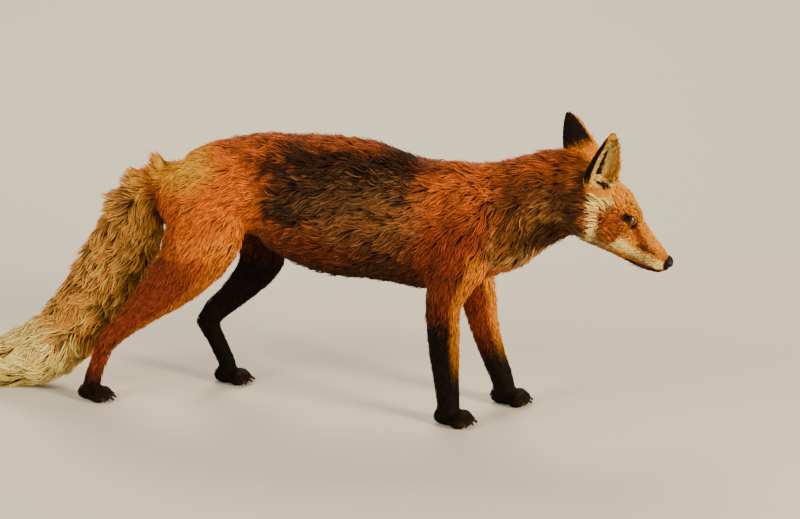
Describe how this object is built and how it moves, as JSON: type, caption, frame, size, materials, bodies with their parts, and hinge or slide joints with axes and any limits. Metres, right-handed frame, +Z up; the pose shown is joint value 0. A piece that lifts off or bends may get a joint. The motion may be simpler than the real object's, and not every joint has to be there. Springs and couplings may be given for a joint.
{
  "type": "red fox",
  "caption": "Life-size still model of a red fox in mid step, head lowered and turned, long brush trailing on the floor.",
  "frame": {"origin": "on the floor under the middle of the fox's bounding box", "axes": "+X is the way the trunk faces, +Y is the fox's left, +Z is up"},
  "size_m": [0.993, 0.1678, 0.4241],
  "materials": {
    "coat_rust": "long dense rust-orange fur, grizzled dark grey along the back",
    "coat_tawny": "shaggy golden tan fur with dark tips",
    "coat_cream": "soft cream white fur",
    "coat_black": "short black brown fur",
    "nose_leather": "moist pebbled black nose",
    "eye": "wet amber brown eye with an upright pupil"
  },
  "bodies": {
    "root": {"trunk": "coat_rust", "neck": "coat_rust", "head": "coat_rust", "lower_jaw": "coat_cream", "nose": "nose_leather", "tail_root": "coat_tawny", "tail_brush": "coat_tawny", "tail_tip": "coat_cream", "right_foreleg": "coat_rust", "left_foreleg": "coat_rust", "right_forefoot": "coat_black", "left_forefoot": "coat_black", "right_thigh": "coat_rust", "left_thigh": "coat_rust", "right_shank": "coat_rust", "left_shank": "coat_rust", "right_hindfoot": "coat_black", "left_hindfoot": "coat_black", "right_ear": "coat_black", "left_ear": "coat_black", "right_eye": "eye", "left_eye": "eye"}
  },
  "joints": []
}
